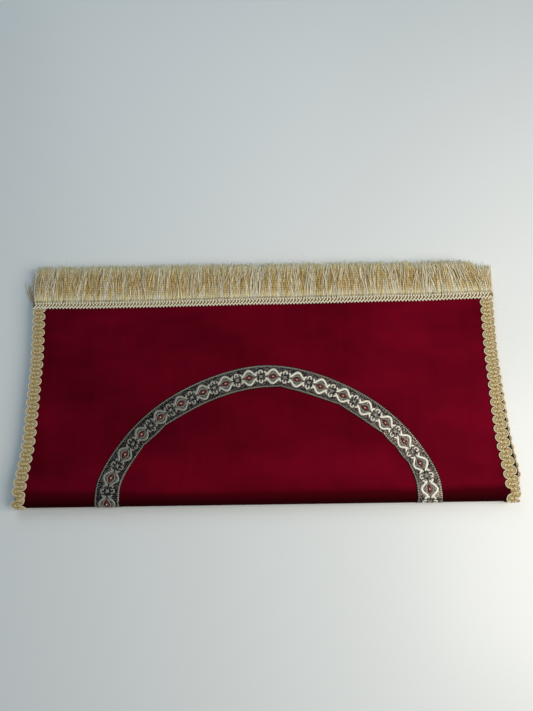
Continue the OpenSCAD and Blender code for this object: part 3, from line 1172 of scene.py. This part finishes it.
    def build(self) -> dict[Part, list[Piece]]:
        """Makes the ground, the figure and the stitching of every stretch."""
        m = self.mat
        looks = {
            Weft.FIGURE: self.finishes.figure,
            Weft.RED: self.finishes.red_silk,
            Weft.WHITE: self.finishes.floss_cream,
        }
        nodes = {
            Part.TOP: ["ribbon_arch", "ribbon_fold"], Part.INNER: ["ribbon_legs_upper"],
            Part.BASE: ["ribbon_legs_lower"], Part.TUCK: ["ribbon_fold"],
        }
        made: dict[Part, list[Piece]] = {}
        for part in nodes:
            slack = 0.7 * m.inner_r if part is Part.TUCK else m.bend_h
            moves = Part.NOSE if part is Part.TOP else part
            runs = self.stretch(part)
            grounds, threads = [], []
            for run in runs:
                step = self.fine if part is Part.TOP else self.coarse
                count = int((run[1] - run[0]) / step) + 13
                a = np.linspace(-self.width / 2, self.width / 2, self.columns)
                crown = self.thick * (1 - 0.25 * np.abs(a / self.width * 2) ** 6)
                b = np.linspace(*run, count)
                grounds.append(slab(a, b, np.zeros(self.columns), crown, self._slab_place))
                if part is not Part.TUCK:
                    threads.append(self.stitches(run))
            ground = make_piece(f"ribbon_{part.label}", Shape.join(grounds), self.finishes.brocade)
            attach(ground, moves, m, "ribbon", nodes[part], slack)
            made[part] = [ground]
            for look, material in looks.items():
                shapes = [s for run in runs for s in self.figure(run, look)]
                if shapes:
                    piece = make_piece(f"ribbon_{look.value}_{part.label}", Shape.join(shapes), material)
                    attach(piece, moves, m, "ribbon", [], slack)
                    made[part].append(piece)
            if threads:
                seam = make_piece(f"ribbon_stitching_{part.label}", Shape.join(threads), self.finishes.thread)
                attach(seam, moves, m, "thread", [f"ribbon_stitching_{part.cad}"], slack)
                made[part].append(seam)
        return made

    def _slab_place(self, a: Points, b: Points, n: Points) -> Points:
        """place() with a the other way round, so that the slab's faces look outwards."""
        return self.place(-a, b, n)

    def stitches(self, run: tuple[float, float]) -> Shape:
        """Two rows of sewing stitches, a little inside the ribbon's edges."""
        length = self.stitch
        centres = np.arange(run[0] + length, run[1] - length, length * 1.25)
        s = np.linspace(-0.5, 0.5, 4)
        rows = []
        for edge in (-1, 1):
            a = np.full((len(centres), len(s)), edge * (self.width / 2 - self.seam_in))
            b = centres[:, None] + s[None] * length
            n = self.thick + 0.14 * MM * np.cos(s * np.pi)[None] + np.zeros_like(b)
            rows.append(tubes(np.stack([a, b, n], axis=-1), 0.35 * MM, 0.35 * MM, 4, 0.0, self.place_points))
        return Shape.join(rows)


# ---------------------------------------------------------------- the fringes


@dataclass
class BrushFringe:
    """A fringe at one end of the mat: a woven header and thousands of loose strands of floss.

    Attributes:
        mat: the folded mat.
        finishes: the mat's finishes.
        end: the end of the cloth that it is sewn to.
        seed: starts the random draws.
        gold: how many gold strands.
        cream: how many cream strands.
        stray: how many strands of the lower fringe curl out past its left corner.
        strand_d: a strand's diameter.
        strand_steps: points along a strand.
        root_in: how far inside the header's back edge the strands start.
        tooth: pitch of the header's zigzag edge and of the stitches behind it.
        cell: pitch of the upright stitches.
    """

    mat: FoldedMat
    finishes: Finishes
    end: End
    seed: int
    gold: int = 2500
    cream: int = 1900
    stray: int = 18
    strand_d: float = 0.92 * MM
    strand_steps: int = 9
    root_in: float = 3.6 * MM
    tooth: float = 4.4 * MM
    cell: float = 3.4 * MM

    def __post_init__(self) -> None:
        """Reads the place of the header and the skirt from their boxes."""
        low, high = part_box(f"{self.end.value}_fringe_header")
        self.half_w = high[0]
        self.y0, self.y1 = low[1], high[1]
        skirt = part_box(f"{self.end.value}_fringe_skirt")
        self.length = skirt[1][1] - skirt[0][1]
        self.tip_z = skirt[0][2]
        self.top = self.end is End.HEAD

    def t(self, y: float | Points) -> float | Points:
        """Place along the unrolled mat of a header's point."""
        return self.mat.t_of_top(y) if self.top else self.mat.t_of_inner(y)

    def on_header(self, x: Points, y: Points, n: Points) -> Points:
        """Scene coordinates of points on or over the header's leaf."""
        return self.mat.place(x, self.t(y), n)

    def roots(self, rng: np.random.Generator, count: int) -> tuple[Points, Points]:
        """Where strands leave the header, as scene points, and the share of the depth each lies at."""
        x = np.sort(rng.uniform(-self.half_w + 1 * MM, self.half_w - 1 * MM, count))
        depth = rng.uniform(0, 1, count)
        n = 1.1 * MM - depth * 1.5 * MM
        roots = self.on_header(x, np.full(count, self.y1 - self.root_in), n)
        return roots, depth

    def strands(self, rng: np.random.Generator, count: int, stray: float) -> Shape:
        """Loose strands.

        Each leaves the header straight back, then drifts sideways with the tuft that it belongs to, waves,
        and sinks towards the surface that the mat lies on, the lower ones faster.

        Args:
            rng: the random draws.
            count: how many strands.
            stray: how much further than the rest the odd strand may wander.

        Returns:
            The strands as three-sided tubes.
        """
        roots, depth = self.roots(rng, count)
        v = np.linspace(0, 1, self.strand_steps)[None]
        x0 = roots[:, 0]
        # tufts: neighbours lean alike, because the lean is a smooth wave of their place across the mat
        lean = 0.07 * np.sin(x0 * 210 + 1.0) + 0.05 * np.sin(x0 * 57 + 2.0) + 0.07 * np.sin(x0 * 431)
        lean = lean + rng.normal(0, 0.1, count) * (1 + stray * (rng.uniform(0, 1, count) < 0.08) * 2.0)
        lean = lean - 0.05 * x0 / self.half_w
        # the upper fringe lies brushed to the left at its right end, and the lower one curls out at its left
        right_end = ease(x0, self.half_w - 70 * MM, self.half_w - 10 * MM)
        fan = ease(-x0, self.half_w - 14 * MM, self.half_w - 3 * MM) * rng.uniform(-0.3, 0.1, count)
        lean = lean - 0.17 * right_end if self.top else lean + fan
        # none of the outermost ones leans far out
        outmost = ease(np.abs(x0), self.half_w - 28 * MM, self.half_w - 6 * MM)
        outward = np.minimum(lean * np.sign(x0), 0.5 - (0.44 if self.top else 0.32) * outmost)
        lean = outward * np.sign(x0)
        bow = (fan * 22 * MM)[:, None] * (not self.top)
        length = self.length * (1.015 - 0.078 * x0 / self.half_w)
        length = length * rng.normal(1.0, 0.04, count) + self.root_in
        length = np.clip(length, 0.6 * self.length, 1.22 * self.length)
        # the lower fringe was cut a little shorter but for its left corner, and the upper one at its right
        foot_cut = 0.08 * ease(x0 + self.half_w, 0, 40 * MM)
        head_cut = 0.2 * ease(x0, self.half_w - 16 * MM, self.half_w)
        length = length * (1 - (head_cut if self.top else foot_cut))
        swing = rng.uniform(0.3, 1.5, count)[:, None] * MM
        beats = rng.uniform(0.8, 2.4, count)[:, None]
        phase = rng.uniform(0, 2 * np.pi, count)[:, None]
        hook = rng.normal(0, 1.8, count)[:, None] * MM
        x = x0[:, None] + lean[:, None] * length[:, None] * v**1.2 + bow * np.sin(np.pi * v)
        x = x + swing * (np.sin(2 * np.pi * beats * v + phase) - np.sin(phase)) * v**0.5 + hook * v**3
        y = roots[:, 1][:, None] + length[:, None] * (v - 0.02 * v**2)
        tip = self.tip_z - 1.5 * MM + (1 - depth) * 6.5 * MM + rng.uniform(0, 1, count) * 1.5 * MM
        sink = (roots[:, 2] - tip)[:, None]
        bulge = rng.uniform(0.2, 1.8, count)[:, None] * MM * (1 - depth[:, None])
        z = roots[:, 2][:, None] - sink * v**1.6 + bulge * np.sin(np.pi * v)
        lines = np.stack([x, y, np.maximum(z, 0.6 * MM)], axis=-1)
        thick = self.strand_d * rng.uniform(0.75, 1.25, count)
        taper = thick[:, None] * (1 - 0.35 * v**3)
        # the roots are paler than the rest, and light gets in among the tips
        tone = rng.uniform(0, 0.35, count)[:, None] + 0.8 * (1 - ease(v, 0.08, 0.3))
        tone = tone + ease(v, 0.68, 1.0)
        return tubes(lines, taper, taper, 3, tone)

    def hairs(self) -> Shape:
        """A few fine hairs that stand out of the upper fringe."""
        # place across the mat and reach past the tips, in mm, and lean to the right
        places = np.array([[-259, 9, 0.02], [-93, 4, 0.2], [62, 15, -0.10], [71, 5, 0.3], [188, 5, -0.3]])
        x0, reach, lean = places[:, 0] * MM, places[:, 1] * MM, places[:, 2]
        v = np.linspace(0, 1, self.strand_steps)[None]
        length = (self.length + reach)[:, None]
        roots = self.on_header(x0, np.full(len(x0), self.y1), np.full(len(x0), 1.2 * MM))
        x = x0[:, None] + lean[:, None] * length * v**2
        y = roots[:, 1][:, None] + length * v
        z = roots[:, 2][:, None] + 6 * MM * np.sin(np.pi * v * 0.6)
        return tubes(np.stack([x, y, z], axis=-1), 0.34 * MM, 0.34 * MM, 3, 0.5)

    def wisps(self, rng: np.random.Generator) -> Shape:
        """A few strands of the lower fringe that curl out past its left corner and lie on the floor there.

        Each bows to the left as a sine does, over half a wave or less, while it runs back.
        """
        v = np.linspace(0, 1, 13)[None]
        out = rng.uniform(10, 26, (self.stray, 1)) * MM
        run = rng.uniform(20, 54, (self.stray, 1)) * MM
        wave = rng.uniform(0.3, 0.95, (self.stray, 1))
        x0 = rng.uniform(0.5, 12, (self.stray, 1)) * MM - self.half_w
        rest = rng.uniform(1.0, 6.0, (self.stray, 1)) * MM
        roots = self.on_header(x0[:, 0], np.full(self.stray, self.y1 - self.root_in), np.zeros(self.stray))
        x = roots[:, :1] - out * np.sin(np.pi * wave * v)
        y = roots[:, 1:2] + run * v
        z = rest + (roots[:, 2:] - rest) * (1 - ease(v, 0.0, 0.7))
        return tubes(np.stack([x, y, z], axis=-1), 0.6 * MM, 0.6 * MM, 3, 0.0)

    def header(self) -> Piece:
        """The woven tape, on which the strands are looped."""
        x = np.linspace(-self.half_w, self.half_w, 241)
        crown = np.full(len(x), 0.85 * MM)
        y = np.linspace(self.y0 + 2.2 * MM, self.y1, 9)
        along = np.sort(self.t(y))
        shape = slab(x, along, np.zeros(len(x)), crown, self.mat.place)
        return make_piece(f"{self.end.value}_fringe_tape", shape, self.finishes.tape)

    def laid(self, lines: Points, width: float, height: float, sides: int, tone: float | Points) -> Shape:
        """Tubes over the header, from rows of x, y and height above its leaf.

        The leaf under the foot fringe faces down, which turns the tubes inside out, so their faces are
        turned back.
        """
        shape = tubes(lines, width, height, sides, tone, lambda p: self.on_header(p[:, 0], p[:, 1], p[:, 2]))
        if not self.top:
            shape.quads, shape.caps = shape.quads[:, ::-1], shape.caps[:, ::-1]
        return shape

    def picots(self) -> Piece:
        """The header's front edge, a zigzag cord, and behind it a slanting and an upright row of stitches."""
        x = np.linspace(-self.half_w, self.half_w, int(2 * self.half_w / (self.tooth / 8)))
        wave = 2 * np.pi * x / self.tooth
        y = self.y0 + 1.9 * MM - 1.25 * MM * np.arcsin(np.cos(wave) * 0.95)
        edge = np.stack([x, y, 1.2 * MM + 0.2 * MM * np.sin(wave)], axis=-1)
        shapes = [self.laid(edge[None], 1.7 * MM, 1.4 * MM, 6, 0.0)]
        s = np.linspace(-0.5, 0.5, 4)[None]
        # place behind the front edge, slant, pitch and width, in mm but for the pitch
        rows = ((5.1, 1.3, self.tooth, 2.2), (7.5, 0.4, self.cell, 2.5))
        for row, (place, slant, pitch, wide) in enumerate(rows):
            x = np.arange(-self.half_w + pitch, self.half_w - pitch, pitch)[:, None] + slant * MM * s
            y = self.y0 + place * MM + 2.2 * MM * s + 0 * x
            n = 1.0 * MM + 0.5 * MM * np.cos(np.pi * s) + 0 * x
            shapes.append(self.laid(np.stack([x, y, n], axis=-1), wide * MM, 0.9 * MM, 6, 0.25 * row))
        return make_piece(f"{self.end.value}_fringe_picots", Shape.join(shapes), self.finishes.floss_cream)

    def stitching(self) -> Piece:
        """Two chain rows that bind the strands to the header, each a fine thread that waves up and down."""
        x = np.linspace(-self.half_w, self.half_w, int(2 * self.half_w / (0.6 * MM)))
        rows = [self.y0 + r * MM for r in (9.4, 10.8)]
        height = 1.55 * MM + 0.12 * MM * np.sin(2 * np.pi * x / (2.4 * MM))
        lines = np.stack([np.stack([x, np.full_like(x, y), height], axis=-1) for y in rows])
        shape = self.laid(lines, 0.4 * MM, 0.4 * MM, 5, 0.0)
        return make_piece(f"{self.end.value}_fringe_rows", shape, self.finishes.thread)

    def build(self) -> list[Piece]:
        """Makes the header, its cords and stitching, and the strands."""
        rng = np.random.default_rng(self.seed)
        part = Part.TOP if self.top else Part.INNER
        gold_floss, cream_floss = self.strands(rng, self.gold, 1.0), self.strands(rng, self.cream, 2.0)
        if self.top:
            cream_floss = Shape.join([cream_floss, self.hairs()])
        else:
            gold_floss = Shape.join([gold_floss, self.wisps(rng)])
        gold = make_piece(f"{self.end.value}_fringe_gold", gold_floss, self.finishes.floss_gold)
        cream = make_piece(f"{self.end.value}_fringe_cream", cream_floss, self.finishes.floss_cream)
        header, cords, seam = self.header(), self.picots(), self.stitching()
        name = f"{self.end.value}_fringe"
        attach(header, part, self.mat, "header", [f"{name}_header"], 0.0)
        attach(cords, part, self.mat, "header", [], 0.0)
        attach(seam, part, self.mat, "thread", [f"{name}_stitching"], 0.0)
        for strands in (gold, cream):
            attach(strands, part, self.mat, "fringe", [f"{name}_skirt"], 0.0)
        return [header, cords, seam, gold, cream]


# ---------------------------------------------------------------- cut sizes


def declare_cloth(cloth: PaddedCloth, layers: dict) -> None:
    """Works out the cut size of every sheet of cloth."""
    # where the middle of each layer lies in the leaf
    depths = {"velvet": 0.25, "wadding": 0.65, "lining": 0.95}
    for (name, part), piece in layers.items():
        face = name == "velvet" and part is Part.TOP
        flat = cloth.flat(part, depths[name] * cloth.mat.leaf_t, face)


def declare_ribbon(ribbon: ArchRibbon, made: dict[Part, list[Piece]]) -> None:
    for part, pieces in made.items():
        length = sum(run[1] - run[0] for run in ribbon.stretch(part))
        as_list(pieces[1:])


# ---------------------------------------------------------------- the studio


def pose(right: Points, up: Points, back: Points, place: Points) -> Matrix:
    """The pose of a camera or lamp at a place, from its axes: it looks against back."""
    matrix = np.eye(4)
    matrix[:3] = np.stack([right, up, back, place], axis=1)
    return Matrix(matrix.tolist())


@dataclass(frozen=True)
class Lamp:
    """A square soft light that faces the mat.

    Attributes:
        name: what it stands for.
        place: its middle.
        size: length of its sides.
        watts: its power.
        colour: its colour.
    """

    name: str
    place: tuple[float, float, float]
    size: float
    watts: float
    colour: str

    def build(self) -> None:
        """Adds the light to the scene."""
        data = bpy.data.lights.new(self.name, "AREA")
        data.size = self.size
        data.energy = self.watts
        data.color = linear(self.colour)[:3]
        lamp = bpy.data.objects.new(self.name, data)
        back = unit(np.array(self.place))
        side = unit(np.cross([0.0, 1.0, 0.0], back))
        lamp.matrix_world = pose(side, np.cross(back, side), back, self.place)
        bpy.context.scene.collection.objects.link(lamp)


@dataclass
class Studio:
    """A pale floor, soft light from the right and from behind, and a camera that looks steeply down.

    Attributes:
        eye: where the camera stands.
        aim: the point of the floor in the middle of its picture.
        level_deg: heading of the picture's horizontal, from +X.
        lens_mm: focal length on a frame whose long side is frame_mm.
        frame_mm: that side.
        lamps: the window on the right and the light of the ceiling.
        surround: brightness of the walls' light.
        floor_half: half of the floor's width.
    """

    eye: tuple[float, float, float] = (23.2 * MM, -133.5 * MM, 649.0 * MM)
    aim: tuple[float, float, float] = (6.6 * MM, 33.5 * MM, 0.0)
    level_deg: float = -1.28
    lens_mm: float = 26.0
    frame_mm: float = 36.0
    lamps: tuple[Lamp, ...] = (
        Lamp("window", (0.8, -0.24, 0.84), 0.8, 10.6, "#fff5e8"),
        Lamp("ceiling", (-0.4, 1.7, 1.9), 1.6, 13.2, "#eaf5fc"),
    )
    surround: float = 0.235
    floor_half: float = 6.0

    def camera(self) -> None:
        """Adds the camera: it looks from eye to aim, turned so that its picture is level."""
        forward = unit(np.array(self.aim) - np.array(self.eye))
        turn = math.radians(self.level_deg)
        level = np.array([math.cos(turn), math.sin(turn), 0.0])
        right = unit(level - (level @ forward) * forward)
        data = bpy.data.cameras.new("camera")
        data.lens = self.lens_mm
        data.sensor_fit = "VERTICAL"
        data.sensor_height = self.frame_mm
        camera = bpy.data.objects.new("camera", data)
        camera.matrix_world = pose(right, np.cross(right, forward), -forward, self.eye)
        bpy.context.scene.collection.objects.link(camera)
        bpy.context.scene.camera = camera

    def floor(self) -> None:
        """Adds the floor: a wide pale plane with a low gloss."""
        corners = np.array([[-1, -1, 0], [1, -1, 0], [1, 1, 0], [-1, 1, 0]]) * self.floor_half
        surface = Finish("floor_glazed_tile", roughness=0.27, specular=0.25).start()
        surface.shader.inputs["Base Color"].default_value = linear("#eef1f1")
        plane = make_piece("floor", Shape(corners, np.array([[0, 1, 2, 3]])), surface.material)

    def build(self) -> None:
        """Adds camera, floor, lights and a pale surround."""
        self.camera()
        self.floor()
        for lamp in self.lamps:
            lamp.build()
        world = bpy.data.worlds.new("surround")
        world.use_nodes = True
        sky = world.node_tree.nodes["Background"]
        sky.inputs["Color"].default_value = linear("#c6e2f3")
        sky.inputs["Strength"].default_value = self.surround
        bpy.context.scene.world = world
        bpy.context.scene.view_settings.view_transform = "Standard"


def main() -> None:
    """Builds the mat and its studio, and reports each piece."""
    logging.basicConfig(level=logging.INFO, format="%(name)s: %(message)s")
    Studio().build()
    finishes = Finishes()
    mat = FoldedMat()
    cloth = PaddedCloth(mat, finishes)
    layers = cloth.build()
    trims: dict[Part, list[Piece]] = {part: [] for part in Part}
    for side in Side:
        pieces = ScrollBraid(mat, finishes, side).build()
        for part, pair in zip(Part, (pieces[i : i + 2] for i in range(0, len(pieces), 2))):
            trims[part] += pair
    ribbon = ArchRibbon(mat, finishes)
    ribbons = ribbon.build()
    trims[Part.TOP] += BrushFringe(mat, finishes, End.HEAD, 11).build()
    trims[Part.INNER] += BrushFringe(mat, finishes, End.FOOT, 23).build()
    declare_cloth(cloth, layers)
    declare_ribbon(ribbon, ribbons)


if __name__ == "__main__":
    main()
